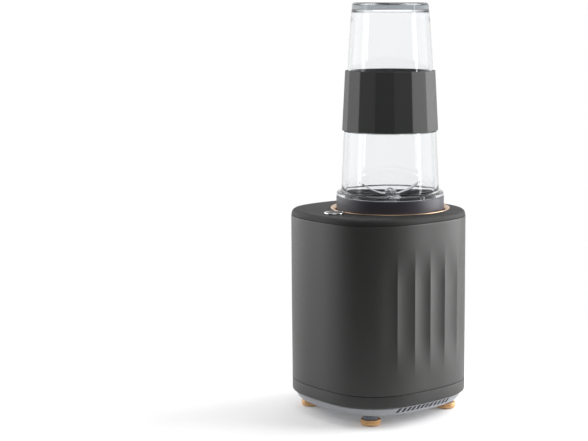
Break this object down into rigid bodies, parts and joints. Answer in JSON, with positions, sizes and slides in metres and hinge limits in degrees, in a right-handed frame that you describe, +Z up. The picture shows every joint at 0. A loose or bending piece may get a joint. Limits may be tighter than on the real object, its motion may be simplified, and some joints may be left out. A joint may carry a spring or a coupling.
{
  "type": "countertop blender",
  "caption": "Personal countertop blender: squared motor base with pleated sides and an inverted clear cup that screws onto a blade collar in a round well.",
  "frame": {"origin": "middle of the base's footprint, on the worktop, under the foot pads", "axes": "+Z up, -Y towards the user (the front, with the button), +X to the user's right"},
  "size_m": [0.134, 0.136, 0.3463],
  "materials": {
    "graphite_plastic": "satin moulded shell",
    "light_grey_plastic": "satin",
    "collar_plastic": "semi-gloss",
    "copper_finish": "brushed copper tone",
    "chrome": "bright",
    "clear_cup": "clear moulded",
    "rubber": "matt",
    "silicone": "matt",
    "steel": "brushed",
    "lamination_iron": "laminated",
    "copper_winding": "enamelled wire",
    "aluminium": "die cast",
    "circuit_board": "lacquered",
    "black_plastic": "moulded"
  },
  "bodies": {
    "base": {"accent_ring": "copper_finish", "base_housing": "graphite_plastic", "base_tray": "light_grey_plastic", "brush_holder_left": "black_plastic", "brush_holder_right": "black_plastic", "button_ring": "chrome", "button_spring": "steel", "button_switch": "black_plastic", "control_board": "circuit_board", "cord_gland": "rubber", "cup_well": "black_plastic", "field_coil_left": "copper_winding", "field_coil_right": "copper_winding", "foot_1": "copper_finish", "foot_2": "copper_finish", "foot_3": "copper_finish", "foot_4": "copper_finish", "foot_pad_1": "rubber", "foot_pad_2": "rubber", "foot_pad_3": "rubber", "foot_pad_4": "rubber", "foot_screw_1": "steel", "foot_screw_2": "steel", "foot_screw_3": "steel", "foot_screw_4": "steel", "interlock_switch": "black_plastic", "lower_band": "graphite_plastic", "lower_bearing": "steel", "lower_bracket": "aluminium", "motor_mount_1": "rubber", "motor_mount_2": "rubber", "motor_mount_3": "rubber", "motor_mount_4": "rubber", "stator_stack": "lamination_iron", "top_deck": "graphite_plastic", "upper_bearing": "steel", "upper_bracket": "aluminium"},
    "rotor": {"motor_shaft": "steel", "armature_core": "lamination_iron", "armature_windings": "copper_winding", "commutator": "copper_winding", "cooling_fan": "black_plastic", "drive_coupler": "black_plastic"},
    "collar": {"blade_collar": "collar_plastic", "blade_bush": "steel"},
    "gasket": {"cup_gasket": "silicone"},
    "cup": {"cup": "clear_cup"},
    "sleeve": {"grip_sleeve": "graphite_plastic"},
    "blades": {"blade_shaft": "steel", "lower_blade": "steel", "upper_blade": "steel", "blade_nut": "steel", "blade_coupler": "black_plastic"},
    "button": {"button_cap": "graphite_plastic"},
    "interlock": {"interlock_pin_1": "light_grey_plastic", "interlock_pin_2": "light_grey_plastic", "interlock_pin_3": "light_grey_plastic"}
  },
  "joints": [
    {"name": "motor_spin", "type": "hinge", "parent": "base", "child": "rotor", "pos_m": [0, 0.0133, 0.1], "axis": [0, 0, 1], "continuous": true},
    {"name": "cup_lift", "type": "slide", "parent": "base", "child": "collar", "axis": [0, 0, 1], "range_m": [0, 0.12]},
    {"name": "blade_spin", "type": "hinge", "parent": "collar", "child": "blades", "pos_m": [0, 0.0133, 0.18], "axis": [0, 0, 1], "continuous": true},
    {"name": "cup_rise", "type": "slide", "parent": "collar", "child": "gasket", "axis": [0, 0, 1], "range_m": [0, 0.0151]},
    {"name": "cup_unscrew", "type": "hinge", "parent": "gasket", "child": "cup", "pos_m": [0, 0.0133, 0.18], "axis": [0, 0, 1], "range_deg": [0, 360]},
    {"name": "sleeve_off", "type": "slide", "parent": "cup", "child": "sleeve", "axis": [0, 0, 1], "range_m": [0, 0.12]},
    {"name": "button_press", "type": "slide", "parent": "base", "child": "button", "axis": [0, 0, 1], "range_m": [-0.0022, 0], "stiffness_N_per_m": 450, "springref_m": 0.0005, "deforming": ["button_spring"]},
    {"name": "interlock_rise", "type": "slide", "parent": "base", "child": "interlock", "axis": [0, 0, 1], "range_m": [0, 0.0025]}
  ],
  "couplings": [
    {"joint": "blade_spin", "follows": "motor_spin", "ratio": 1},
    {"joint": "cup_rise", "follows": "cup_unscrew", "m_per_rad": 0.0023873},
    {"joint": "interlock_rise", "follows": "cup_lift", "ratio": 0.02}
  ]
}
